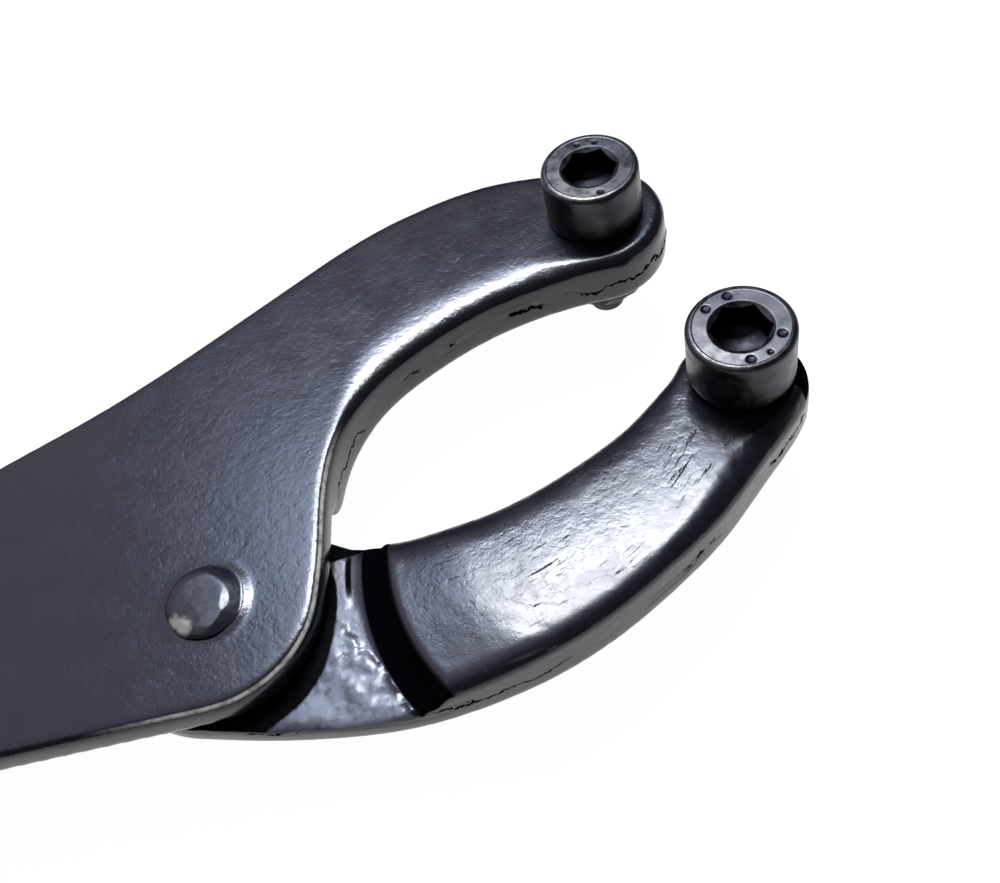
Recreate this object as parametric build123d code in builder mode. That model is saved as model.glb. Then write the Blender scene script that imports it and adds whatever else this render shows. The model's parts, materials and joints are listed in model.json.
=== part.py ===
from build123d import *
from math import acos, atan2, cos, degrees, hypot, radians, sin
import os

# Adjustable pin wrench for case backs: a flat forged handle that ends in a curved fixed arm, and a
# short curved arm hinged to it by one rivet. Each arm carries a turned pin, clamped by a cap screw.
#
# Frame: the origin is on the hinge axis, at the flat underside. The handle runs towards -X, the arms
# reach towards +X, and the pins point down. Millimetres, degrees.

os.makedirs("parts", exist_ok=True)

# ---- driving dimensions ----------------------------------------------------------------------
THICKNESS = 6.3  # forged handle and arms
LAP = 3.1  # half-thickness of the two members where they lap at the hinge
LAP_GAP = 0.1  # running gap between the lapped faces
UPPER_ROUND = 0.7  # rounded upper rims of the forgings
UNDER_ROUND = 0.9  # and the softer rims underneath

FIXED_SCREW = (49.3, 26.9)  # axis of the screw and pin in the fixed arm
HINGED_SCREW = (53.0, 1.3)  # the same in the hinged arm, at rest

# handle and fixed arm
LOBE_R = 10.4  # the upper plate round the rivet
LOBE_ENDS = (-24.0, -101.5)  # where its arc starts and stops, as angles about the hinge axis
FIXED_TIP = (49.0, 26.3)
FIXED_TIP_R = 7.25
FIXED_TIP_ENDS = (75.0, -105.0)
GRIP_Y = 8.8  # centre line of the handle
GRIP_HALF_WIDTHS = ((-30.0, 13.3), (-45.0, 11.2), (-62.0, 10.4), (-95.0, 10.4), (-137.0, 11.6))  # by x
PANEL_LENGTH = 72.0  # shallow recessed panel on both faces of the grip
PANEL_WIDTH = 12.4
PANEL_DEPTH = 0.8
PANEL_X = -88.0
HANGING_HOLE_R = 3.5
HANGING_HOLE_X = -138.0
SHOULDER_RISE = 10.5  # slope of the upper edge where the grip meets the head
LAP_RECESS_R = 14.3  # room under the plate for the hinged arm's boss and lap
LIP_Y = -3.2  # below this line the head is only the upper plate, so that the arm can swing back
LIP_END_X = -42.0

# hinged arm
BOSS_R = 10.6
HINGED_TIP = (52.7, 0.8)
HINGED_TIP_R = 6.3
HINGED_TIP_ENDS = (-50.0, 138.0)
THROAT_CORNER = (15.0, 0.6)  # where the arm's inner edge turns into the lap
BOSS_OUTER_ANGLE = -116.6  # where the lap's outer edge leaves the boss
STEP_CENTRE = (36.6, -8.1)  # the sloped step from the lap up to the arm is part of a cone
STEP_FOOT_R = 23.9
STEP_RUN = 3.1

# rivet
RIVET_R = 2.5
RIVET_HEAD_R = 3.6
RIVET_HEAD_HEIGHT = 1.0
RIVET_RIM = 0.2  # upright rim under the dome
RIVET_TAIL_R = 4.1
RIVET_TAIL_DEPTH = 1.6
RUNNING_GAP = 0.05

# M6 cap screws and the pins they clamp
SCREW_R = 3.0
SCREW_HOLE_R = 3.3
SCREW_LENGTH = 10.0
HEAD_R = 5.0
HEAD_HEIGHT = 6.0
HEAD_ROUND = 0.5
SOCKET_FLATS = 5.0
SOCKET_DEPTH = 3.0
SOCKET_MOUTH_R = 3.0
SOCKET_CONE = 0.9
COLLAR_R = 4.4
COLLAR_HEIGHT = 4.6
COLLAR_CHAMFER = 0.6
COLLAR_FLATS = 8.0
PIN_R = 1.9
PIN_LENGTH = 3.5
TAPPED_DEPTH = 3.9
SMALL_CHAMFER = 0.3


def polar(centre, radius, angle):
    """Point on a circle, with the angle in degrees."""
    return (centre[0] + radius * cos(radians(angle)), centre[1] + radius * sin(radians(angle)))


def heading(angle):
    """Unit direction, for the tangents of the outline curves."""
    return (cos(radians(angle)), sin(radians(angle)))


def arc(centre, radius, start, end):
    """Arc about a centre from one angle to another, the way the numbers run."""
    points = [polar(centre, radius, angle) for angle in (start, (start + end) / 2, end)]
    return ThreePointArc(*points)


def round_rims(part):
    """Rounds the edges all round the top and bottom faces of the part being built."""
    levels = part.faces().filter_by(Axis.Z).sort_by(Axis.Z)
    upper, under = levels[-1].edges(), levels[0].edges()
    fillet(upper, UPPER_ROUND)
    fillet(under, UNDER_ROUND)


HINGE = (0.0, 0.0)

# ---- handle with the fixed arm ---------------------------------------------------------------
lower_grip = [(x, GRIP_Y - half) for x, half in GRIP_HALF_WIDTHS]
upper_grip = [(x, GRIP_Y + half) for x, half in reversed(GRIP_HALF_WIDTHS)]
grip_end = GRIP_HALF_WIDTHS[-1]
lobe_start, lobe_end = LOBE_ENDS
tip_start, tip_end = FIXED_TIP_ENDS
SHOULDER = [upper_grip[-1], (-17.0, 24.7), (-6.0, 26.7), (6.0, 30.0), (18.0, 33.9), (27.0, 36.4),
            (34.0, 37.1), (42.0, 36.4), polar(FIXED_TIP, FIXED_TIP_R, tip_start)]
THROAT = [polar(FIXED_TIP, FIXED_TIP_R, tip_end), (43.0, 20.1), (38.0, 20.5), (32.5, 20.1), (27.0, 18.8),
          (21.7, 16.7), (17.5, 13.4), (14.9, 9.8), (12.9, 5.2), polar(HINGE, LOBE_R, lobe_start)]

with BuildPart() as handle:
    with BuildSketch() as head_outline:
        with BuildLine():
            Line(polar(HINGE, LOBE_R, lobe_end), lower_grip[0])
            Spline(lower_grip, tangents=[heading(lobe_end + 270), heading(180)])
            arc((grip_end[0], GRIP_Y), grip_end[1], -90, -270)
            Spline(upper_grip, tangents=[heading(0), heading(SHOULDER_RISE)])
            Spline(SHOULDER, tangents=[heading(SHOULDER_RISE), heading(tip_start - 90)])
            arc(FIXED_TIP, FIXED_TIP_R, tip_start, tip_end)
            Spline(THROAT, tangents=[heading(tip_end - 90), heading(lobe_start - 90)])
            arc(HINGE, LOBE_R, lobe_start, lobe_end)
        make_face()
    extrude(amount=THICKNESS)
    round_rims(handle)
    # the underside is cut away round the hinge and along the lower edge, for the hinged arm
    with BuildSketch():
        Circle(LAP_RECESS_R)
        with Locations((LIP_END_X, LIP_Y)):
            Rectangle(-LIP_END_X, LAP_RECESS_R, align=(Align.MIN, Align.MAX))
    extrude(amount=LAP + LAP_GAP, mode=Mode.SUBTRACT)
    with Locations((0, 0, THICKNESS)):
        Hole(RIVET_R)
    with Locations((*FIXED_SCREW, THICKNESS)):
        Hole(SCREW_HOLE_R)
    with Locations((HANGING_HOLE_X, GRIP_Y, THICKNESS)):
        Hole(HANGING_HOLE_R)
    for floor in (0, THICKNESS - PANEL_DEPTH):
        with BuildSketch(Plane.XY.offset(floor)):
            with Locations((PANEL_X, GRIP_Y)):
                SlotOverall(PANEL_LENGTH, PANEL_WIDTH)
        extrude(amount=PANEL_DEPTH, mode=Mode.SUBTRACT)
handle.part.label = "handle"
export_step(handle.part, "parts/handle.step")

# ---- hinged arm ------------------------------------------------------------------------------
corner_angle = degrees(atan2(THROAT_CORNER[1], THROAT_CORNER[0]))
boss_inner_angle = corner_angle + degrees(acos(BOSS_R / hypot(*THROAT_CORNER)))
outer_start, inner_start = HINGED_TIP_ENDS
OUTER_EDGE = [polar(HINGE, BOSS_R, BOSS_OUTER_ANGLE), (2.9, -13.1), (7.6, -14.9), (12.6, -16.4),
              (19.0, -17.3), (26.0, -17.3), (32.5, -16.2), (39.0, -14.1), (45.2, -11.4), (51.2, -7.7),
              polar(HINGED_TIP, HINGED_TIP_R, outer_start)]
INNER_EDGE = [polar(HINGED_TIP, HINGED_TIP_R, inner_start), (45.2, 3.1), (41.5, 1.2), (36.0, -0.5),
              (30.8, -1.5), (25.6, -1.8), (20.5, -1.2), THROAT_CORNER]

with BuildPart() as hinged_arm:
    with BuildSketch() as arm_outline:
        with BuildLine():
            Spline(OUTER_EDGE, tangents=[heading(BOSS_OUTER_ANGLE + 90), heading(outer_start + 90)])
            arc(HINGED_TIP, HINGED_TIP_R, outer_start, inner_start)
            Spline(INNER_EDGE, tangents=[heading(inner_start + 90), heading(152)])
            Line(THROAT_CORNER, polar(HINGE, BOSS_R, boss_inner_angle))
            arc(HINGE, BOSS_R, boss_inner_angle, BOSS_OUTER_ANGLE + 360)
        make_face()
    extrude(amount=THICKNESS)
    round_rims(hinged_arm)
    # everything on the pivot side of the cone is cut down to the lap
    side = heading(110)
    section = Plane(origin=(*STEP_CENTRE, 0), x_dir=(*side, 0), z_dir=(side[1], -side[0], 0))
    slope = STEP_RUN / (THICKNESS - LAP)
    clear_top = THICKNESS + 1
    with BuildSketch(section) as lap_cut:
        with BuildLine():
            Polyline((STEP_FOOT_R, LAP), (60, LAP), (60, clear_top),
                     (STEP_FOOT_R - slope * (clear_top - LAP), clear_top), close=True)
        make_face()
    revolve(axis=Axis((*STEP_CENTRE, 0), (0, 0, 1)), revolution_arc=140, mode=Mode.SUBTRACT)
    with Locations((0, 0, LAP)):
        Hole(RIVET_R + RUNNING_GAP)
    with BuildSketch():
        Circle(RIVET_TAIL_R + RUNNING_GAP)
    extrude(amount=RIVET_TAIL_DEPTH, taper=45, mode=Mode.SUBTRACT)
    with Locations((*HINGED_SCREW, THICKNESS)):
        Hole(SCREW_HOLE_R)
hinged_arm.part.label = "hinged_arm"
export_step(hinged_arm.part, "parts/hinged_arm.step")

# ---- rivet: low domed head above, countersunk tail flush with the underside --------------------
dome_rise = RIVET_HEAD_HEIGHT - RIVET_RIM
dome_radius = (RIVET_HEAD_R**2 + dome_rise**2) / (2 * dome_rise)
dome_half_angle = degrees(atan2(RIVET_HEAD_R, dome_radius - dome_rise)) / 2
dome_centre = (0, THICKNESS + RIVET_HEAD_HEIGHT - dome_radius)
tail_r = RIVET_TAIL_R - RUNNING_GAP
with BuildPart() as hinge_rivet:
    with BuildSketch(Plane.XZ):
        with BuildLine():
            Polyline((0, THICKNESS + RIVET_HEAD_HEIGHT), (0, 0), (tail_r, 0), (RIVET_R, tail_r - RIVET_R),
                     (RIVET_R, THICKNESS), (RIVET_HEAD_R, THICKNESS), (RIVET_HEAD_R, THICKNESS + RIVET_RIM))
            ThreePointArc((RIVET_HEAD_R, THICKNESS + RIVET_RIM),
                          polar(dome_centre, dome_radius, 90 - dome_half_angle),
                          (0, THICKNESS + RIVET_HEAD_HEIGHT))
        make_face()
    revolve(axis=Axis.Z)
hinge_rivet.part.label = "hinge_rivet"
export_step(hinge_rivet.part, "parts/hinge_rivet.step")


# ---- cap screws and pins -----------------------------------------------------------------------
def cap_screw(place, socket_turn):
    """M6 socket cap screw, its head sitting on the arm at place."""
    seat = Plane(origin=(*place, THICKNESS))
    with BuildPart() as screw:
        with BuildSketch(seat):
            Circle(HEAD_R)
        extrude(amount=HEAD_HEIGHT)
        fillet(screw.edges().group_by(Axis.Z)[-1], HEAD_ROUND)
        with BuildSketch(seat):
            Circle(SCREW_R)
        extrude(amount=-SCREW_LENGTH)
        chamfer(screw.edges().group_by(Axis.Z)[0], SMALL_CHAMFER)
        with BuildSketch(seat.offset(HEAD_HEIGHT)):
            RegularPolygon(SOCKET_FLATS / 2, 6, major_radius=False, rotation=socket_turn)
        extrude(amount=-SOCKET_DEPTH, mode=Mode.SUBTRACT)
        # chamfered mouth of the socket, and the drill point at its bottom
        with BuildSketch(seat.offset(HEAD_HEIGHT)):
            Circle(SOCKET_MOUTH_R)
        extrude(amount=-SOCKET_MOUTH_R / 2, taper=60, mode=Mode.SUBTRACT)
        with BuildSketch(seat.offset(HEAD_HEIGHT - SOCKET_DEPTH)):
            Circle(SOCKET_FLATS / 2 - 0.2)
        extrude(amount=-SOCKET_CONE, taper=60, mode=Mode.SUBTRACT)
    return screw.part


def clamped_pin(place):
    """Turned pin whose flatted, tapped collar is drawn up against the arm's underside."""
    seat = Plane(origin=(*place, 0))
    with BuildPart() as pin:
        with BuildSketch(seat):
            Circle(COLLAR_R)
        extrude(amount=-COLLAR_HEIGHT)
        chamfer(pin.edges().group_by(Axis.Z)[0], COLLAR_CHAMFER)
        with BuildSketch(seat):
            Rectangle(2 * COLLAR_R, COLLAR_FLATS)
        extrude(amount=-COLLAR_HEIGHT, mode=Mode.INTERSECT)
        with BuildSketch(seat.offset(-COLLAR_HEIGHT)):
            Circle(PIN_R)
        extrude(amount=-PIN_LENGTH)
        chamfer(pin.edges().group_by(Axis.Z)[0], SMALL_CHAMFER)
        with BuildSketch(seat):
            Circle(SCREW_R)
        extrude(amount=-TAPPED_DEPTH, mode=Mode.SUBTRACT)
    return pin.part


for name, place, socket_turn in (("fixed_arm", FIXED_SCREW, 43), ("hinged_arm", HINGED_SCREW, 38.5)):
    for node, piece in ((f"{name}_screw", cap_screw(place, socket_turn)), (f"{name}_pin", clamped_pin(place))):
        piece.label = node
        export_step(piece, f"parts/{node}.step")
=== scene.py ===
import json
from math import cos, pi, radians, sin, sqrt

import bpy
import numpy as np
from mathutils import Matrix, Vector, kdtree, noise


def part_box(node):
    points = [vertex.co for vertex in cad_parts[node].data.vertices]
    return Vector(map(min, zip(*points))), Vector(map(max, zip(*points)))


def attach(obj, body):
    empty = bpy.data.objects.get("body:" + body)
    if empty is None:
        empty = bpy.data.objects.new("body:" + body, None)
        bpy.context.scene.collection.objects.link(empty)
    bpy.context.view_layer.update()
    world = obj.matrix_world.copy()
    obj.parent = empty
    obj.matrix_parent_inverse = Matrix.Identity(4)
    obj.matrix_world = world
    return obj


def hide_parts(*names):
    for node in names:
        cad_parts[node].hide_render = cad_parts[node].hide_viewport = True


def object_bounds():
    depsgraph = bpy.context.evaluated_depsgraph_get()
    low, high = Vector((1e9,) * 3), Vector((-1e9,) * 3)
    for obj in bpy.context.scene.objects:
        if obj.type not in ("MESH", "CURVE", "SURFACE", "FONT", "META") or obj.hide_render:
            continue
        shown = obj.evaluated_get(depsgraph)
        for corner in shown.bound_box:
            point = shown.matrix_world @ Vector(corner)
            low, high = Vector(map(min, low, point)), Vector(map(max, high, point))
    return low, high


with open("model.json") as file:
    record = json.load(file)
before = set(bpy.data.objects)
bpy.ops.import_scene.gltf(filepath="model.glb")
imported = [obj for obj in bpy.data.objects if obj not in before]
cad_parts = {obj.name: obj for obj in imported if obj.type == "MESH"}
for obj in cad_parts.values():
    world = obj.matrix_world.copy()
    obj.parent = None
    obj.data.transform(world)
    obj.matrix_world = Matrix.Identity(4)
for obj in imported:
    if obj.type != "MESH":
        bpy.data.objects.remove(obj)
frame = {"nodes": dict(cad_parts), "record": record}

CAD_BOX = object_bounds()
MM = 0.001
RECORD = frame["record"]
MOUNTS = {m["name"]: Vector(m["pos_m"]) / MM for m in RECORD["mounts"]}

# ---- places and sizes read from the frame ----------------------------------------------------
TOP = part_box("handle")[1].z / MM  # upper face of both forgings; their underside is at 0
HALF = TOP / 2
HEAD_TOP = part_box("fixed_arm_screw")[1].z / MM
SCREW_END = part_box("fixed_arm_screw")[0].z / MM
PIN_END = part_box("fixed_arm_pin")[0].z / MM
RIVET_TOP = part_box("hinge_rivet")[1].z / MM
FIXED_AXIS = MOUNTS["fixed_pin"].xy
HINGED_AXIS = MOUNTS["hinged_pin"].xy

# ---- shape of the forgings -------------------------------------------------------------------
RIVET_AXIS = (0.0, 0.0)
LAP_TOP = 3.1  # upper face of the hinged arm's lap
STEP_CENTRE = (36.6, -8.1)  # centre of the curved step between the lap and the arm
STEP_TOP_R = 20.7  # radii of the step's rounded upper edge and of its foot
STEP_FOOT_R = 23.9
ARM_CENTRE = (24.5, 20.0)  # centre and radius of a circle that follows the hinged arm's bend
ARM_RADIUS = 30.0

# ---- wear, forging marks and painted shade ---------------------------------------------------
HANDLE_VOXEL = 0.37  # sizes of the even quads in the two forgings
ARM_VOXEL = 0.25
SINK = 0.05  # the uneven skin is set in by this much, to keep to the CAD shape's size
PLATE_CORNER = (13.3, 5.4)  # the plate's thin lower corner at the throat
HANDLE_SEAM = 2.9  # height of the handle's parting line
ARM_RIDGE = 2.6  # heights of the hinged arm's raised parting line and of the crack in its lacquer
ARM_CRACK = 2.8
CRACK_REACH = 40.0  # the lacquer is cracked within this distance of the centre of the arm's bend
HANDLE_CALM = (60, 61)  # the skin is smoother beyond these distances from the same centre
ARM_CALM = (31, 36)
GROOVE = ((12.9, 0.2), (11.9, -4.3))  # ends of the narrow groove in the lap
SWELLING_EDGE = ((9.8, -4.6), (13.6, -15.2))  # ends of the hammered swelling's ragged edge
GROOVE_SHADE_R = 25.25  # painted shade along the lap's groove beside the step, by its distance from the step's centre

# stamped marks on the screws' tops: angle, distance from the axis, radius, rise
FIXED_MARKS = ((-96, 3.85, 0.40, -0.08), (87, 3.6, 0.35, -0.06), (58, 3.6, 0.35, -0.06))
HINGED_MARKS = ((-104, 3.75, 0.50, -0.10), (-76, 3.80, 0.32, -0.08), (-40, 3.65, 0.50, -0.10),
                (82, 3.80, 0.48, -0.10), (119, 3.75, 0.48, -0.10))

# hammer facets of the rivet: the middle in x and y, its level, the way it falls and how steeply
FACETS = (
    (-0.4, 0.3, 0.84, 200, 0.07),
    (-2.5, -1.6, 0.58, 212, 0.30),
    (1.2, -1.2, 0.80, -75, 0.10),
    (1.1, -0.6, 0.90, -22, 0.24),
    (1.6, 2.4, 0.66, 60, 0.45),
    (1.9, -2.2, 0.60, -60, 0.45),
)
# places where the rivet's head is rubbed bare, and their radius
RIVET_BARE = (((-2.9, -1.2), 0.5), ((-2.2, -1.9), 0.6))

# ---- colours ---------------------------------------------------------------------------------
LACQUER = ((0.0055, 0.0050, 0.0078), (0.0080, 0.0072, 0.0108))  # two tones that mottle into each other
RIVET_BLACK = ((0.006, 0.006, 0.009), (0.016, 0.015, 0.020))
SCREW_OXIDE = ((0.030, 0.030, 0.034), (0.060, 0.059, 0.062))
PIN_OXIDE = ((0.030, 0.030, 0.034), (0.060, 0.058, 0.060))
CRACK_BLACK = (0.001, 0.001, 0.001)
# black of the crack, the scratches, and the painted shade on the step, in the lap's groove and beside the
# handle's round end
SHADE_AND_SCRATCH_BLACK = (0.001, 0.001, 0.0015)
HOLLOW_SHADE_BLACK = (0.012, 0.012, 0.015)  # painted shade inside the sockets and the stamped marks
HANDLE_RUBBED = (0.46, 0.44, 0.38)  # bare metal on the rims
ARM_RUBBED = (0.30, 0.28, 0.22)
RIVET_RUBBED = (0.25, 0.24, 0.20)
LAP_BARE = (0.17, 0.18, 0.21)
# rubbed steel on the screws' top faces, also lighter towards one side as a painted reflection
FIXED_HEAD_RUBBED_AND_SHEEN = (0.145, 0.137, 0.124)
HINGED_HEAD_RUBBED_AND_SHEEN = (0.100, 0.095, 0.088)


# ---- scene: camera, floor, light -------------------------------------------------------------
def add_object(name, data):
    made = bpy.data.objects.new(name, data)
    bpy.context.scene.collection.objects.link(made)
    return made


def place_camera():
    """Near, steep and rolled, at the side of the hinged arm."""
    height = 88.54  # above the tool's upper face
    eye = Vector((21.99, -58.97, height + TOP)) * MM
    target = Vector((29.83, 3.94, TOP)) * MM
    roll = radians(-16.61)
    data = bpy.data.cameras.new("camera")
    data.sensor_width = 36.0
    data.lens = 42.48
    data.clip_start = 0.002
    camera = add_object("camera", data)
    look = (target - eye).to_track_quat("-Z", "Y").to_matrix()
    camera.matrix_world = Matrix.Translation(eye) @ (look @ Matrix.Rotation(roll, 3, "Z")).to_4x4()
    bpy.context.scene.camera = camera


def add_floor():
    """White sheet that glows by itself, so that the tool's own shadows on it stay faint."""
    half = 3.0  # metres, as are the frame's boxes
    clearance = 0.0001
    z = CAD_BOX[0][2] - clearance
    corners = [(-half, -half, z), (half, -half, z), (half, half, z), (-half, half, z)]
    mesh = bpy.data.meshes.new("floor")
    mesh.from_pydata(corners, [], [(0, 1, 2, 3)])
    floor = add_object("floor", mesh)
    material = bpy.data.materials.new("floor_white")
    material.use_nodes = True
    shader = material.node_tree.nodes["Principled BSDF"]
    shader.inputs["Base Color"].default_value = (0.15, 0.15, 0.155, 1)
    shader.inputs["Roughness"].default_value = 1.0
    shader.inputs["Specular IOR Level"].default_value = 0.0
    shader.inputs["Emission Color"].default_value = (1.0, 1.0, 1.0, 1)
    shader.inputs["Emission Strength"].default_value = 0.975
    mesh.materials.append(material)


def softbox(name, place, target, size, radiance, tint=(1, 1, 1)):
    """Rectangular lamp whose brightness doesn't depend on its size."""
    data = bpy.data.lights.new(name, "AREA")
    data.shape = "RECTANGLE"
    data.size, data.size_y = (s * MM for s in size)
    data.energy = radiance * pi * data.size * data.size_y
    data.color = tint
    lamp = add_object(name, data)
    place, target = Vector(place) * MM, Vector(target) * MM
    look = (target - place).to_track_quat("-Z", "Y").to_matrix().to_4x4()
    lamp.matrix_world = Matrix.Translation(place) @ look


def light_studio():
    """Sky that is bright above and behind the handle and dark elsewhere, and two softboxes over the arms."""
    brightest = (-0.40, 0.44, 0.80)  # way to the brightest part of the sky
    world = bpy.data.worlds.new("studio")
    bpy.context.scene.world = world
    world.use_nodes = True
    tree = world.node_tree
    coord = tree.nodes.new("ShaderNodeTexCoord")
    dot = tree.nodes.new("ShaderNodeVectorMath")
    dot.operation = "DOT_PRODUCT"
    dot.inputs[1].default_value = brightest
    spread = tree.nodes.new("ShaderNodeMapRange")
    spread.interpolation_type = "SMOOTHSTEP"
    for socket, value in (("From Min", 0.62), ("From Max", 0.97), ("To Min", 0.08), ("To Max", 1.05)):
        spread.inputs[socket].default_value = value
    tree.links.new(coord.outputs["Generated"], dot.inputs[0])
    tree.links.new(dot.outputs["Value"], spread.inputs["Value"])
    background = tree.nodes["Background"]
    background.inputs["Color"].default_value = (0.80, 0.77, 1.0, 1)
    tree.links.new(spread.outputs["Result"], background.inputs["Strength"])
    softbox("key", (78, 134, 295), (40, 0, 0), (125, 62), 38)
    softbox("fill", (60, 155, 288), (30, 0, 0), (215, 112), 9.0, (0.52, 0.68, 1.0))


bpy.context.scene.view_settings.view_transform = "Standard"
place_camera()
add_floor()
light_studio()


# ---- mesh helpers ----------------------------------------------------------------------------
def points_of(mesh):
    flat = np.empty(len(mesh.vertices) * 3)
    mesh.vertices.foreach_get("co", flat)
    return flat.reshape(-1, 3)


def normals_of(mesh):
    flat = np.empty(len(mesh.vertices) * 3)
    mesh.vertex_normals.foreach_get("vector", flat)
    return flat.reshape(-1, 3)


def set_points(mesh, points):
    mesh.vertices.foreach_set("co", points.ravel())
    mesh.update()


def edges_of(mesh):
    flat = np.empty(len(mesh.edges) * 2, int)
    mesh.edges.foreach_get("vertices", flat)
    return flat.reshape(-1, 2)


def smooth(points, edges, weight, rounds):
    """Moves each point towards the mean of its neighbours, by its own weight from 0 to 1."""
    count = len(points)
    a, b = edges[:, 0], edges[:, 1]
    degree = np.maximum(np.bincount(a, minlength=count) + np.bincount(b, minlength=count), 1)
    points = points.copy()
    for _ in range(rounds):
        for axis in range(3):
            value = points[:, axis]
            total = np.bincount(a, value[b], count) + np.bincount(b, value[a], count)
            points[:, axis] = value + weight * (total / degree - value)
    return points


def waves(points, length, seed, detail=1):
    """Smooth noise between about -1 and 1 at each point, with the given wavelength."""
    shift = Vector((seed * 17.3, seed * 5.1, seed * 9.7))
    return np.array([noise.fractal(Vector(p) / length + shift, 1.0, 2.0, detail) for p in points])


def step(value, low, high):
    """0 below low, 1 above high, smooth between."""
    t = np.clip((value - low) / (high - low), 0, 1)
    return t * t * (3 - 2 * t)


def even_copy(node, name, voxel):
    """Closed mesh of even quads in a CAD node's shape."""
    source = add_object(name + "_source", frame["nodes"][node].data.copy())
    modifier = source.modifiers.new("even", "REMESH")
    modifier.mode = "VOXEL"
    modifier.voxel_size = voxel * MM
    evaluated = source.evaluated_get(bpy.context.evaluated_depsgraph_get())
    mesh = bpy.data.meshes.new_from_object(evaluated)
    mesh.name = name
    bpy.data.objects.remove(source)
    piece = add_object(name, mesh)
    mesh.materials.clear()
    mesh.shade_smooth()
    return piece


# ---- the forgings ----------------------------------------------------------------------------
def nearest_wall(points, normals, low, high, north_only=False):
    """Distance in plan from each point to the nearest upright wall, and the way that wall faces.

    Only walls between the two heights count.
    """
    walls = (np.abs(normals[:, 2]) < 0.25) & (points[:, 2] > low) & (points[:, 2] < high)
    if north_only:
        walls &= normals[:, 1] > 0.3
    places, facing = points[walls], normals[walls, :2]
    tree = kdtree.KDTree(len(places))
    for i, p in enumerate(places):
        tree.insert((p[0], p[1], 0), i)
    tree.balance()
    found = [tree.find((p[0], p[1], 0)) for p in points]
    facing = facing[[f[1] for f in found]]
    return np.array([f[2] for f in found]), facing / np.linalg.norm(facing, axis=1)[:, None]


def roll_rim(points, distance, facing, width, drop, level=TOP):
    """Rolls the rim at a level off as part of an ellipse: width inwards from the wall and drop down it."""
    u = np.clip(1 - distance / width, 0, 1)
    v = np.clip(1 - (level - points[:, 2]) / drop, 0, 1) * (points[:, 2] < level + 0.12)
    pull = 1 - 1 / np.maximum(np.hypot(u, v), 1)
    rolled = points.copy()
    rolled[:, :2] -= facing * (width * u * pull)[:, None]
    rolled[:, 2] -= drop * v * pull
    return rolled


def forge(node, name, voxel, rim):
    """Even copy of a forging, with its upper rim rolled off by rim(points, facing) = widths, drops."""
    piece = even_copy(node, name, voxel)
    mesh = piece.data
    edges = edges_of(mesh)
    points = smooth(points_of(mesh) / MM, edges, 0.5, 5)
    set_points(mesh, points * MM)
    above_seam = HALF + 0.4
    distance, facing = nearest_wall(points, normals_of(mesh), above_seam, TOP)
    points = roll_rim(points, distance, facing, *rim(points, facing))
    points = smooth(points, edges, 0.5, 3)
    set_points(mesh, points * MM)
    return piece, points, normals_of(mesh), edges


def plan_distance(points, place):
    """Distance in plan from a place."""
    return np.hypot(points[:, 0] - place[0], points[:, 1] - place[1])


def clear_of_head(points, axis, reach):
    """0 beside a screw's head, 1 beyond reach."""
    return step(plan_distance(points, axis), 5.3, reach)


def handle_rim(points, facing):
    """The fixed arm's inner edge is rolled off wide; the rest of the handle has a small radius."""
    inner = step(points[:, 0], 14, 23) * step(-facing[:, 1], 0.1, 0.6) * step(points[:, 1], 4, 10)
    free = clear_of_head(points, FIXED_AXIS, 12)
    return 0.7 + (0.5 + 3.4 * free) * inner, 0.7 + (0.1 + 0.27 * free) * inner


def arm_rim(points, facing):
    """The hinged arm is rolled off wide inside, and outside only towards its tip."""
    free = clear_of_head(points, HINGED_AXIS, 9)
    outer = step(-facing[:, 1], -0.2, 0.5)
    end = step(points[:, 0], 38, 52)
    wide = (2.6 * (1 - outer) + (1.2 + 1.3 * end) * outer) * (0.2 + 0.8 * free)
    return 0.8 + wide, 1.1 + 0.1 * (1 - outer) + 0.6 * outer * end


def flash_line(points, normals, height, seed):
    """Torn parting line round the walls: a low ragged ridge with a crack under it."""
    walls = step(1 - np.abs(normals[:, 2]), 0.5, 0.85)
    wander = waves(points * (1, 1, 0), 5.0, seed, 3) * 0.5
    off = points[:, 2] - (height + wander)
    ridge = np.exp(-((off - 0.30) / 0.24) ** 2) - 1.5 * np.exp(-((off + 0.05) / 0.16) ** 2)
    torn = step(waves(points * (1, 1, 0), 9.0, seed + 3, 2), -0.12, 0.25)
    return 0.16 * ridge * walls * torn


def skin(points, rough, seed):
    """Uneven forged skin: broad waves, orange peel, and shallow dimples where it is rough."""
    broad = waves(points, 14.0, seed) * 0.04
    peel = waves(points, 1.1, seed + 1, 3) * 0.010 * (0.2 + rough)
    dimples = waves(points, 1.7, seed + 2, 2)
    return broad + peel - step(dimples, 0.25, 0.6) * 0.03 * rough


def make_handle():
    """The handle, with its plate and the fixed arm."""
    piece, points, normals, edges = forge("handle", "handle_forging", HANDLE_VOXEL, handle_rim)
    # the thin lower corner at the throat is worn round
    corner = np.exp(-(plan_distance(points, PLATE_CORNER) / 1.6) ** 2) * (points[:, 2] < HALF)
    points = smooth(points, edges, 0.5 * corner, 120)
    on_arm = step(points[:, 0], 10, 22) * step(points[:, 1], 4, 10)
    move = skin(points, 0.15 + 0.1 * on_arm, 3)
    move += flash_line(points, normals, HANDLE_SEAM, 5) * step(points[:, 0], 10, 24)
    # the skin is driven up round the rivet's head, most towards the throat
    r = plan_distance(points, RIVET_AXIS)
    side = 0.3 + 0.7 * step((points[:, 0] * 0.9 - points[:, 1] * 0.4) / np.maximum(r, 1), -0.2, 0.8)
    move += (points[:, 2] > HALF) * 0.10 * side * (1 - step(r, 3.4, 4.8))
    set_points(piece.data, (points + normals * (move - SINK)[:, None]) * MM)
    return piece


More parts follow.
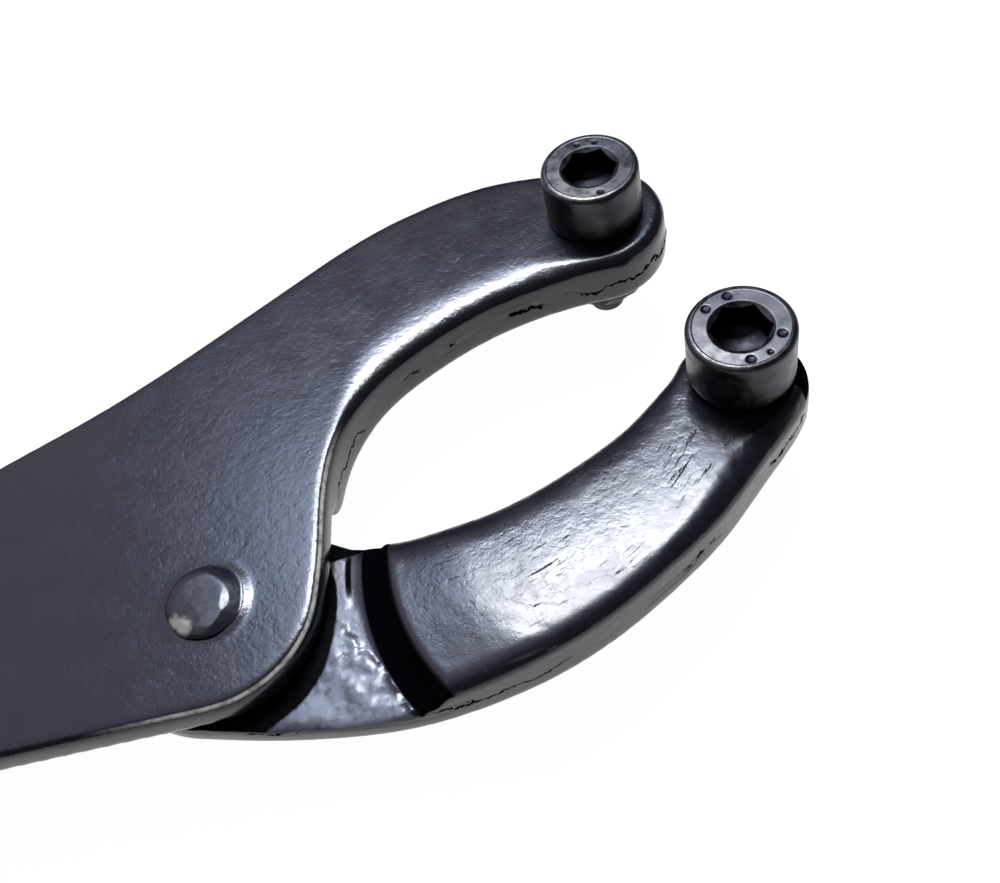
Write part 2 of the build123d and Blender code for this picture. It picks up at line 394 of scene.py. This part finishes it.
def segment_distance(points, start, end):
    """Distance in plan to a straight segment; positive on its left-hand side."""
    start, end = np.array(start), np.array(end)
    along = end - start
    share = np.clip((points[:, :2] - start) @ along / (along @ along), 0, 1)
    away = points[:, :2] - start - share[:, None] * along
    side = np.sign(along[0] * away[:, 1] - along[1] * away[:, 0])
    return np.hypot(away[:, 0], away[:, 1]) * side


def lap_marks(points, normals):
    """Uneven metal on the lap: a narrow groove, and a hammered swelling that ends in a ragged edge."""
    on_lap = step(normals[:, 2], 0.8, 0.97) * (1 - step(points[:, 2], LAP_TOP + 0.2, LAP_TOP + 0.8))
    groove = np.abs(segment_distance(points, *GROOVE))
    ragged = waves(points, 1.3, 21, 3)
    swelling = segment_distance(points, *SWELLING_EDGE) + 0.9 * ragged
    raised = step(swelling, -5.0, -1.5) * (1 - step(swelling, -0.1, 0.5)) * step(-points[:, 1], 4.0, 6.5)
    lumps = waves(points, 1.1, 25, 2) * 0.10 * step(swelling, -4.5, -2.0) * step(-points[:, 1], 6.0, 9.0)
    return on_lap * (0.22 * raised + lumps - 0.08 * np.exp(-(groove / 0.35) ** 2))


def make_hinged_arm():
    """The hinged arm, with its step and lap."""
    piece, points, normals, edges = forge("hinged_arm", "hinged_arm_forging", ARM_VOXEL, arm_rim)
    arm = step(points[:, 0], 17, 24)
    top = step(points[:, 2], HALF, HALF + 1.5)
    low_distance, low_facing = nearest_wall(points, normals, 0, LAP_TOP - 0.3)
    out = plan_distance(points, STEP_CENTRE)
    on_lap = out > 23.5
    throat_side = step(low_facing[:, 1], -0.2, 0.4)
    # the lap's rim is rolled off, and chamfered at the throat, but not at the step's foot
    rolled = roll_rim(points, low_distance, low_facing, 0.8, 0.6, LAP_TOP)
    away = step(out, 23.6, 25.6)
    points = smooth(points + (rolled - points) * away[:, None], edges, 0.5 * on_lap, 2)
    points[:, 2] -= away * (points[:, 2] > 2.0) * throat_side * 0.6 * np.clip(1 - low_distance / 1.7, 0, 1)
    # the top is slightly domed across, and falls away towards the step
    inner_distance, _ = nearest_wall(points, normals, HALF, TOP, north_only=True)
    points[:, 2] -= top * 0.50 * np.clip(1 - inner_distance / 10, 0, 1) ** 2
    points[:, 2] -= top * 0.55 * step(out, 13.5, 21.5)
    move = skin(points, 0.25 + 0.3 * arm, 8)
    move += flash_line(points, normals, ARM_RIDGE, 11) * 0.5
    move += lap_marks(points, normals)
    set_points(piece.data, (points + normals * (move - SINK)[:, None]) * MM)
    return piece


# ---- turned pieces ---------------------------------------------------------------------------
def turned(name, place, rings, sides, sharp):
    """Closed mesh of revolution, with corners above the angle sharp, in degrees, kept crisp.

    A ring is a function of the angle that gives (radius, height).
    """
    angles = [2 * pi * k / sides for k in range(sides)]
    points, faces = [], []
    for ring in rings:
        for angle in angles:
            radius, height = ring(angle)
            points.append((place[0] + radius * cos(angle), place[1] + radius * sin(angle), height))
    for low in range(len(rings) - 1):
        for k in range(sides):
            nxt = (k + 1) % sides
            faces.append((low * sides + k, low * sides + nxt, (low + 1) * sides + nxt, (low + 1) * sides + k))
    for end, order in ((0, -1), (len(rings) - 1, 1)):
        middle = sum(height for _, height in (rings[end](a) for a in angles)) / sides
        points.append((*place, middle))
        hub = len(points) - 1
        for k in range(sides):
            corner = (end * sides + k, end * sides + (k + 1) % sides)
            faces.append((*corner[::order], hub))
    mesh = bpy.data.meshes.new(name)
    mesh.from_pydata([Vector(p) * MM for p in points], [], faces)
    mesh.validate()
    mesh.shade_smooth()
    piece = add_object(name, mesh)
    mesh.set_sharp_from_angle(angle=radians(sharp))
    return piece


def plain(radius, height):
    """Round ring."""
    return lambda angle: (radius, height)


def fillet_rings(radius, height, size, count=6):
    """Rings of a rounded outer rim that ends at the given height."""
    made = []
    for k in range(count + 1):
        t = pi / 2 * k / count
        made.append(plain(radius - size * (1 - cos(t)), height - size * (1 - sin(t))))
    return made


def hexagon(flats, corner_angle):
    """Radius of a hexagon's outline at an angle."""
    def radius(angle):
        turn = (angle - radians(corner_angle)) % (pi / 3) - pi / 6
        return flats / 2 / cos(turn)
    return radius


def thread_rings(shank_r, thread_top):
    """Rings up an M6 thread, which starts shallow at the screw's end and runs out at the top."""
    core_r, pitch = 2.42, 1.0
    steps = int((thread_top - SCREW_END) / 0.1)
    made = []
    for k in range(steps + 1):
        z = SCREW_END + 0.02 + k * (thread_top - SCREW_END) / steps

        def thread(angle, z=z):
            phase = (z / pitch - angle / (2 * pi)) % 1.0
            depth = min(1, max(0, abs(phase - 0.5) * 2.6 - 0.2))
            lead = min(1, (z - SCREW_END) / 0.7)
            tail = min(1, (thread_top - z) / 0.5)
            crest = core_r + (shank_r - core_r) * lead
            return (crest - (crest - core_r) * depth * tail, z)
        made.append(thread)
    return made


def marked_ring(radius, marks):
    """Ring of a screw's top face, sunk where the marks are stamped."""
    def ring(angle):
        rise = 0
        for mark_angle, mark_r, size, height in marks:
            dx = radius * cos(angle) - mark_r * cos(radians(mark_angle))
            dy = radius * sin(angle) - mark_r * sin(radians(mark_angle))
            near = sqrt(dx * dx + dy * dy) / size
            rise += height * (1 - min(1, max(0, (near - 0.6) / 0.4)))
        return (radius, HEAD_TOP - 0.06 + rise)
    return ring


def socket_rings(corner_angle):
    """Rings of a hexagon socket: a chamfer, deepest at the middle of each flat, the walls and the floor."""
    socket = hexagon(5.0, corner_angle)
    mouth_r = 3.0
    chamfer_top = HEAD_TOP - 0.09
    slope = 0.6
    floor_z = HEAD_TOP - 3.0
    made = [plain(mouth_r, HEAD_TOP - 0.07)]
    for share in (0.34, 0.67, 1.0):
        def mouth(angle, share=share):
            reach = (mouth_r - socket(angle)) * share
            return (mouth_r - reach, chamfer_top - reach * slope)
        made.append(mouth)
    for share in (0.03, 0.5, 1.0):
        def wall(angle, share=share):
            start = chamfer_top - (mouth_r - socket(angle)) * slope
            return (socket(angle), start + (floor_z - start) * share)
        made.append(wall)
    return made + [plain(2.3, floor_z - 0.1), plain(1.1, floor_z - 0.55)]


def make_screw(name, place, corner_angle, marks):
    """M6 cap screw, from the end of its shank up to its head and down into the socket."""
    head_r, shank_r = 5.0, 2.98
    thread_top = TOP - 1.6
    rings = [plain(0.9, SCREW_END), plain(1.8, SCREW_END)]
    rings += thread_rings(shank_r, thread_top)
    rings += [plain(shank_r, thread_top + 0.2), plain(shank_r, TOP - 0.35), plain(shank_r + 0.3, TOP + 0.01)]
    rings += [plain(4.2, TOP + 0.01), plain(head_r - 0.25, TOP + 0.02), plain(head_r - 0.04, TOP + 0.2)]
    rings += [plain(head_r, TOP + 0.5 + k * 0.5) for k in range(10)]
    rings += fillet_rings(head_r, HEAD_TOP, 0.55)
    rings += [plain(4.40, HEAD_TOP - 0.03), marked_ring(4.32, marks)]
    rings += [marked_ring(4.25 - k * 0.1, marks) for k in range(13)]
    rings += socket_rings(corner_angle)
    return turned(name, place, rings, sides=192, sharp=35)


def make_pin(name, place):
    """Turned pin with a collar that has two flats, and a blind hole that takes the screw's end."""
    collar_r, flat, pin_r, hole_r = 4.4, 4.0, 1.9, 3.02
    collar_end = PIN_END + 3.5

    def collar(radius, z):
        def ring(angle):
            across = abs(sin(angle))
            return (min(radius, flat / across if across > 0.05 else radius), z)
        return ring
    rings = [plain(0.5, PIN_END), plain(pin_r - 0.3, PIN_END)]
    rings += [plain(pin_r, PIN_END + 0.3 + 0.5 * k) for k in range(6)]
    rings += [plain(pin_r, collar_end - 0.25), plain(pin_r + 0.08, collar_end - 0.08)]
    rings += [plain(pin_r + 0.25, collar_end), plain(collar_r - 0.75, collar_end)]
    rings += [collar(collar_r - 0.6, collar_end)]
    rings += [collar(collar_r, collar_end + 0.6 + 0.5 * k) for k in range(7)]
    rings += [collar(collar_r, -0.35), collar(collar_r - 0.2, -0.1), plain(3.3, -0.1), plain(hole_r, -0.35)]
    rings += [plain(hole_r, -3.5), plain(2.6, -3.85), plain(0.8, -3.88)]
    return turned(name, place, rings, sides=96, sharp=30)


def make_rivet():
    """Low dome flattened by hammer blows; its tail fills the countersink underneath."""
    head_r, rim, shank_r = 3.6, 0.2, 2.5

    def dome(x, y):
        r = sqrt(x * x + y * y)
        height = rim + (RIVET_TOP - TOP - rim - 0.02) * sqrt(max(0, 1 - (r / head_r) ** 2))
        for fx, fy, level, direction, tilt in FACETS:
            along = (x - fx) * cos(radians(direction)) + (y - fy) * sin(radians(direction))
            height = min(height, level - tilt * along)
        # the right-hand side is struck over all round
        off = sqrt((x + 0.75) ** 2 + (y - 0.1) ** 2)
        over = off - 2.85
        height = min(height, 0.79 - 0.25 * (over + sqrt(over * over + 0.04)))
        return TOP + max(height, 0.12)
    rings = [plain(1.0, 0.02), plain(3.7, 0.03), plain(4.0, 0.08)]
    rings += [plain(shank_r, 1.55), plain(shank_r, TOP - 0.05)]
    rings += [plain(3.3, TOP - 0.04), plain(head_r - 0.04, TOP - 0.02), plain(head_r, TOP + 0.1)]
    for k in range(40):
        radius = head_r * (1 - k / 40) - 0.01

        def ring(angle, radius=radius):
            wobble = 1 + 0.012 * sin(3 * angle + 1) + 0.01 * sin(7 * angle)
            return (radius * wobble, dome(radius * cos(angle), radius * sin(angle)))
        rings.append(ring)
    return turned("hinge_rivet_hammered", RIVET_AXIS, rings, sides=96, sharp=32)


# ---- materials -------------------------------------------------------------------------------
class Paint:
    """Small helper that builds a node material around one Principled shader."""

    def __init__(self, name, **sockets):
        self.material = bpy.data.materials.new(name)
        self.material.use_nodes = True
        self.tree = self.material.node_tree
        self.shader = self.tree.nodes["Principled BSDF"]
        for socket, value in sockets.items():
            self.shader.inputs[socket.replace("_", " ")].default_value = value
        self.coord = self.tree.nodes.new("ShaderNodeTexCoord").outputs["Object"]

    def link(self, source, target):
        self.tree.links.new(source, target)

    def noise(self, size, detail=3, rough=0.5, place=None):
        """Noise with features about size millimetres across."""
        node = self.tree.nodes.new("ShaderNodeTexNoise")
        node.inputs["Scale"].default_value = 1 / (size * MM)
        node.inputs["Detail"].default_value = detail
        node.inputs["Roughness"].default_value = rough
        self.link(place or self.coord, node.inputs["Vector"])
        return node.outputs["Fac"]

    def along_arc(self, centre, radius, across, along):
        """Coordinates that run round an arc, scaled so that noise is drawn out along it."""
        split = self.tree.nodes.new("ShaderNodeSeparateXYZ")
        self.link(self.coord, split.inputs["Vector"])
        x = self.math("SUBTRACT", split.outputs["X"], centre[0] * MM)
        y = self.math("SUBTRACT", split.outputs["Y"], centre[1] * MM)
        out = self.math("SQRT", self.math("ADD", self.math("MULTIPLY", x, x), self.math("MULTIPLY", y, y)))
        turn = self.math("ARCTAN2", y, x)
        joined = self.tree.nodes.new("ShaderNodeCombineXYZ")
        self.link(self.math("DIVIDE", out, across), joined.inputs["X"])
        self.link(self.math("MULTIPLY", turn, radius * MM / along), joined.inputs["Y"])
        self.link(split.outputs["Z"], joined.inputs["Z"])
        return joined.outputs["Vector"]

    def ramp(self, source, low, high, to_low=0.0, to_high=1.0):
        """to_low below low, to_high above high, smooth between."""
        node = self.tree.nodes.new("ShaderNodeMapRange")
        node.interpolation_type = "SMOOTHSTEP"
        for socket, value in (("From Min", low), ("From Max", high), ("To Min", to_low), ("To Max", to_high)):
            node.inputs[socket].default_value = value
        self.link(source, node.inputs["Value"])
        return node.outputs["Result"]

    def mix(self, factor, a, b):
        """Colour a where the factor is 0, b where it is 1."""
        node = self.tree.nodes.new("ShaderNodeMix")
        node.data_type = "RGBA"
        self.link(factor, node.inputs["Factor"])
        for socket, value in ((node.inputs["A"], a), (node.inputs["B"], b)):
            if isinstance(value, tuple):
                socket.default_value = (*value, 1)
            else:
                self.link(value, socket)
        return node.outputs["Result"]

    def math(self, operation, a, b=0):
        node = self.tree.nodes.new("ShaderNodeMath")
        node.operation = operation
        for socket, value in zip(node.inputs, (a, b)):
            if isinstance(value, (int, float)):
                socket.default_value = value
            else:
                self.link(value, socket)
        return node.outputs["Value"]

    def height(self):
        """Height above the forgings' underside, in millimetres."""
        split = self.tree.nodes.new("ShaderNodeSeparateXYZ")
        self.link(self.coord, split.inputs["Vector"])
        return self.math("DIVIDE", split.outputs["Z"], MM)

    def upright(self):
        """1 on upright walls, 0 on level faces."""
        split = self.tree.nodes.new("ShaderNodeSeparateXYZ")
        facing = self.tree.nodes.new("ShaderNodeTexCoord").outputs["Normal"]
        self.link(facing, split.inputs["Vector"])
        return self.math("SUBTRACT", 1.0, self.math("ABSOLUTE", split.outputs["Z"]))

    def off_axis(self, place):
        """Distance in plan from an upright axis, in millimetres."""
        split = self.tree.nodes.new("ShaderNodeSeparateXYZ")
        self.link(self.coord, split.inputs["Vector"])
        flat = self.tree.nodes.new("ShaderNodeCombineXYZ")
        self.link(split.outputs["X"], flat.inputs["X"])
        self.link(split.outputs["Y"], flat.inputs["Y"])
        return self.distance(flat.outputs["Vector"], (*place, 0))

    def near(self, place):
        """Distance from a place, in millimetres."""
        return self.distance(self.coord, place)

    def distance(self, source, place):
        """Distance of a vector from a place, in millimetres."""
        node = self.tree.nodes.new("ShaderNodeVectorMath")
        node.operation = "DISTANCE"
        self.link(source, node.inputs[0])
        node.inputs[1].default_value = Vector(place) * MM
        return self.math("DIVIDE", node.outputs["Value"], MM)

    def bump(self, height, depth, before=None):
        """Bump of depth millimetres for a height from 0 to 1."""
        node = self.tree.nodes.new("ShaderNodeBump")
        node.inputs["Distance"].default_value = depth * MM
        self.link(height, node.inputs["Height"])
        if before is not None:
            self.link(before, node.inputs["Normal"])
        return node.outputs["Normal"]

    def dim(self, mask):
        """Takes the gloss away where the mask is 1."""
        self.link(self.ramp(mask, 0, 1, 0.5, 0.0), self.shader.inputs["Specular IOR Level"])

    def finish(self, colour, roughness, normal, metallic=None):
        """Links the last values to the shader and gives the material."""
        self.link(colour, self.shader.inputs["Base Color"])
        self.link(roughness, self.shader.inputs["Roughness"])
        self.link(normal, self.shader.inputs["Normal"])
        if metallic is not None:
            self.link(metallic, self.shader.inputs["Metallic"])
        return self.material


def black_paint(name, sparkle, roughness, seam_height, calm):
    """Black lacquer over a forged skin, with a dark crack at the parting line.

    The skin is smoother beyond the two calm distances from the centre of the hinged arm's bend.
    Gives the helper, the colour, the roughness, the normal and the mask of the crack.
    """
    p = Paint(name, IOR=1.5)
    rough = p.ramp(p.off_axis(ARM_CENTRE), *calm, 1.0, 0.4)
    mottle = p.noise(9, 4, 0.6)
    colour = p.mix(p.ramp(mottle, 0.35, 0.68), *LACQUER)
    gloss = p.ramp(p.noise(3.5, 5, 0.65), 0.3, 0.72, *roughness)
    peel = p.bump(p.math("MULTIPLY", p.noise(0.75, 2, 0.5), rough), 0.016 * (0.3 + sparkle))
    pitted = p.math("MULTIPLY", p.ramp(p.noise(0.9, 3, 0.7), 0.22, 0.50), rough)
    pits = p.bump(pitted, 0.014 * sparkle, peel)
    grain = p.bump(p.math("MULTIPLY", p.noise(0.32, 3, 0.65), rough), 0.005 + 0.010 * sparkle, pits)
    # the crack wanders in height and comes in torn stretches
    level = p.math("ADD", p.height(), p.ramp(p.noise(3.2, 3, 0.6), 0.25, 0.75, -0.6, 0.6))
    level = p.math("ADD", level, p.ramp(p.noise(0.7, 2, 0.6), 0.25, 0.75, -0.25, 0.25))
    off = p.math("ABSOLUTE", p.math("SUBTRACT", level, seam_height))
    crack = p.math("MULTIPLY", p.ramp(off, 0.08, 0.26, 1.0, 0.0), p.ramp(p.noise(8, 2, 0.5), 0.46, 0.54))
    crack = p.math("MULTIPLY", crack, p.ramp(p.upright(), 0.55, 0.8))
    near_bend = p.ramp(p.off_axis(ARM_CENTRE), CRACK_REACH, CRACK_REACH + 8, 1.0, 0.0)
    crack = p.math("MULTIPLY", crack, near_bend)
    colour = p.mix(crack, colour, CRACK_BLACK)
    return p, colour, gloss, p.bump(crack, -0.15, grain), crack


def rubbed_rim(p, upper, reach, place):
    """1 in a thin broken line on the upper rims near a place, where the lacquer is rubbed through."""
    upright = p.upright()
    line = p.math("MULTIPLY", p.ramp(upright, 0.08, 0.20), p.ramp(upright, 0.30, 0.58, 1.0, 0.0))
    line = p.math("MULTIPLY", line, p.ramp(p.height(), upper - 0.55, upper - 0.35))
    line = p.math("MULTIPLY", line, p.ramp(p.near((*place, upper)), reach - 4, reach + 4, 1.0, 0.0))
    return p.math("MULTIPLY", line, p.ramp(p.noise(0.9, 4, 0.7), 0.36, 0.56, 0.45, 1.0))


def dulled(p, roughness, mask):
    """Roughness raised where the mask is 1."""
    return p.math("MAXIMUM", roughness, p.math("MULTIPLY", mask, 0.9))


def handle_paint():
    """The lacquer, rubbed through on the rim round the hinge, with the skin driven up beside the rivet."""
    p, colour, gloss, normal, crack = black_paint("black_forging_handle", 0.75, (0.17, 0.24), HANDLE_SEAM,
                                                  HANDLE_CALM)
    colour = p.mix(rubbed_rim(p, TOP, 15, (4.0, 0.0)), colour, HANDLE_RUBBED)
    ragged = p.ramp(p.noise(3.0, 2, 0.5), 0.3, 0.7, -0.1, 0.1)
    swell = p.ramp(p.math("ADD", p.off_axis(RIVET_AXIS), ragged), 3.2, 4.5, 1.0, 0.0)
    steepest = p.ramp(p.near((3.6, -1.6, TOP)), 1.5, 6.0, 1.0, 0.1)
    normal = p.bump(p.math("MULTIPLY", swell, steepest), 0.15, normal)
    p.dim(crack)
    return p.finish(colour, dulled(p, gloss, crack), normal)


def arm_paint():
    """Rougher than the handle's, with scratches along the arm, painted shade on the step, a worn lap, and a
    painted shadow on the lap beside the handle's round end.
    """
    p, colour, gloss, normal, crack = black_paint("black_forging_arm", 0.9, (0.20, 0.29), ARM_CRACK, ARM_CALM)
    drawn = p.noise(1.0, 5, 0.70, place=p.along_arc(ARM_CENTRE, ARM_RADIUS, 0.30, 4.5))
    scratched = p.math("MULTIPLY", p.ramp(drawn, 0.60, 0.67), p.ramp(p.noise(4.5, 2, 0.5), 0.50, 0.62))
    out = p.off_axis(STEP_CENTRE)
    scratched = p.math("MULTIPLY", scratched, p.ramp(out, STEP_TOP_R - 4, STEP_TOP_R - 1, 1.0, 0.0))
    normal = p.bump(scratched, -0.05, normal)
    # painted shade: the sloped step between the lap and the arm is blackened and made matt
    painted_shade = p.math("MULTIPLY", p.ramp(out, STEP_TOP_R, STEP_TOP_R + 0.5),
                  p.ramp(out, STEP_FOOT_R - 0.1, STEP_FOOT_R + 0.3, 1.0, 0.0))
    painted_shade = p.math("MULTIPLY", painted_shade, p.ramp(p.upright(), 0.60, 0.85, 1.0, 0.0))
    # painted shade along the groove in the lap, near the step
    groove = p.math("MULTIPLY", p.ramp(p.near((12.5, -1.0, LAP_TOP)), 1.2, 3.4, 1.0, 0.0),
                    p.ramp(p.math("ABSOLUTE", p.math("SUBTRACT", out, GROOVE_SHADE_R)), 0.10, 0.50, 1.0, 0.0))
    upper = p.ramp(p.height(), LAP_TOP - 1.2, LAP_TOP - 0.6)
    bare = p.math("MULTIPLY", p.ramp(out, STEP_FOOT_R + 0.3, STEP_FOOT_R + 1.2),
                  p.ramp(p.noise(1.6, 4, 0.65), 0.34, 0.58, 0.35, 1.0))
    bare = p.math("MULTIPLY", bare, p.ramp(p.near((11.5, -11.0, LAP_TOP)), 4.0, 9.0, 1.0, 0.35))
    bare = p.math("MULTIPLY", bare, p.ramp(p.upright(), 0.35, 0.6, 1.0, 0.0))
    colour = p.mix(p.math("MULTIPLY", bare, upper), colour, LAP_BARE)
    # painted shadow on the lap along the edge of the handle's round end, and painted shade at the lap's
    # throat end
    ragged = p.ramp(p.noise(2.0, 3, 0.6), 0.3, 0.7, -0.1, 0.1)
    painted_shadow = p.math("MAXIMUM", p.ramp(p.math("ADD", p.off_axis(RIVET_AXIS), ragged), 10.95, 11.25, 1.0, 0.0),
                    p.ramp(p.math("ADD", p.off_axis((0.2, -2.2)), ragged), 10.05, 10.40, 1.0, 0.0))
    # painted shade at the lap's throat end, where its rim rolls down
    end = p.math("MULTIPLY", p.ramp(p.off_axis((12.0, -12.0)), 12.65, 12.95),
                 p.ramp(p.near((12.6, 1.2, LAP_TOP)), 2.4, 3.2, 1.0, 0.0))
    painted_shadow = p.math("MULTIPLY", p.math("MAXIMUM", painted_shadow, end), p.ramp(p.upright(), 0.35, 0.6, 1.0, 0.0))
    painted_shade = p.math("MULTIPLY", p.math("MAXIMUM", painted_shade, painted_shadow), upper)
    # the crack, the scratches at half strength, and the painted shade and shadow are blackened and made matt
    dull = p.math("MAXIMUM", crack, p.math("MULTIPLY", scratched, 0.5))
    dull = p.math("MAXIMUM", dull, p.math("MULTIPLY", p.math("MAXIMUM", painted_shade, groove), 0.97))
    colour = p.mix(rubbed_rim(p, TOP, 3, (20.6, -16.3)), colour, ARM_RUBBED)
    colour = p.mix(dull, colour, SHADE_AND_SCRATCH_BLACK)
    p.dim(dull)
    return p.finish(colour, dulled(p, gloss, dull), normal)


def oxide_steel(name, axis, marks, bare):
    """Black-oxide steel, rubbed to another colour on top and lighter towards one side of the top as a painted
    reflection, with painted shade in the socket and the stamped marks.
    """
    p = Paint(name, Metallic=1.0)
    tone = p.noise(1.8, 4, 0.6)
    colour = p.mix(p.ramp(tone, 0.35, 0.7), *SCREW_OXIDE)
    level = p.ramp(p.height(), HEAD_TOP - 0.35, HEAD_TOP - 0.12)
    rubbed_and_sheen = p.math("MULTIPLY", level, p.ramp(p.noise(1.1, 4, 0.7), 0.36, 0.64, 0.2, 1.0))
    # the top is lightest towards one side (-x, -y): painted reflection
    left = p.near((axis.x - 3.4, axis.y - 2.4, HEAD_TOP))
    rubbed_and_sheen = p.math("MULTIPLY", rubbed_and_sheen, p.ramp(left, 1.5, 6.5, 1.0, 0.08))
    colour = p.mix(rubbed_and_sheen, colour, bare)
    # painted shade in the socket and in the stamped marks
    hollow_shade = p.math("MULTIPLY", p.ramp(p.near((*axis, HEAD_TOP - 2.6)), 3.0, 3.4, 1.0, 0.0),
                    p.ramp(p.height(), HEAD_TOP - 1.2, HEAD_TOP - 0.7, 1.0, 0.0))
    for angle, radius, size, _ in marks:
        spot = (axis.x + radius * cos(radians(angle)), axis.y + radius * sin(radians(angle)), HEAD_TOP)
        hollow_shade = p.math("MAXIMUM", hollow_shade, p.ramp(p.near(spot), size * 0.8, size * 1.25, 1.0, 0.0))
    colour = p.mix(hollow_shade, colour, HOLLOW_SHADE_BLACK)
    roughness = p.ramp(p.noise(0.9, 4, 0.6), 0.3, 0.7, 0.28, 0.44)
    normal = p.bump(p.noise(0.18, 3, 0.6), 0.006)
    return p.finish(colour, roughness, normal)


def rivet_steel():
    """Black like the forgings, rubbed to bare steel where it was hammered."""
    p = Paint("rivet_steel", IOR=1.5)
    tone = p.noise(1.4, 4, 0.6)
    colour = p.mix(p.ramp(tone, 0.35, 0.7), *RIVET_BLACK)
    bare = p.ramp(p.noise(1.2, 3, 0.6), 0.3, 0.7, -0.5, 0.15)
    for place, size in RIVET_BARE:
        ragged = p.ramp(p.noise(0.8, 3, 0.6), 0.3, 0.7, -0.2, 0.2)
        near = p.math("ADD", p.near((*place, TOP + 0.6)), ragged)
        bare = p.math("MAXIMUM", bare, p.ramp(near, size - 0.5, size + 0.9, 1.0, 0.0))
    bare = p.ramp(bare, 0.15, 1.0)
    colour = p.mix(bare, colour, RIVET_RUBBED)
    roughness = p.ramp(p.noise(0.8, 3, 0.6), 0.3, 0.7, 0.20, 0.32)
    roughness = p.math("ADD", roughness, p.math("MULTIPLY", bare, 0.2))
    normal = p.bump(p.noise(0.5, 3, 0.6), 0.005)
    return p.finish(colour, roughness, normal, p.math("MULTIPLY", bare, 0.45))


def pin_steel():
    """Turned steel, blacked like the screws."""
    p = Paint("pin_steel", Metallic=1.0)
    tone = p.noise(1.2, 4, 0.6)
    colour = p.mix(p.ramp(tone, 0.35, 0.7), *PIN_OXIDE)
    roughness = p.ramp(p.noise(0.6, 3, 0.6), 0.3, 0.7, 0.28, 0.42)
    normal = p.bump(p.noise(0.12, 2, 0.5), 0.004)
    return p.finish(colour, roughness, normal)


# ---- assembly --------------------------------------------------------------------------------
def install(piece, node, body, material):
    piece.data.materials.clear()
    piece.data.materials.append(material)
    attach(piece, body)
    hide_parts(node)


install(make_handle(), "handle", "handle_body", handle_paint())
install(make_hinged_arm(), "hinged_arm", "hinged_arm_body", arm_paint())
install(make_rivet(), "hinge_rivet", "handle_body", rivet_steel())
pins = pin_steel()
# each arm's screw and pin: body, axis, turn of the hexagon, stamped marks, colour of the rubbed top with its
# painted reflection
for arm, body, axis, corner, marks, rubbed_and_sheen in (
        ("fixed_arm", "handle_body", FIXED_AXIS, 43, FIXED_MARKS, FIXED_HEAD_RUBBED_AND_SHEEN),
        ("hinged_arm", "hinged_arm_body", HINGED_AXIS, 38.5, HINGED_MARKS, HINGED_HEAD_RUBBED_AND_SHEEN)):
    screw = make_screw(f"{arm}_cap_screw", axis, corner, marks)
    oxide = oxide_steel(f"{arm}_screw_steel", axis, marks, rubbed_and_sheen)
    install(screw, f"{arm}_screw", body, oxide)
    pin = make_pin(f"{arm}_turned_pin", axis)
    install(pin, f"{arm}_pin", body, pins)
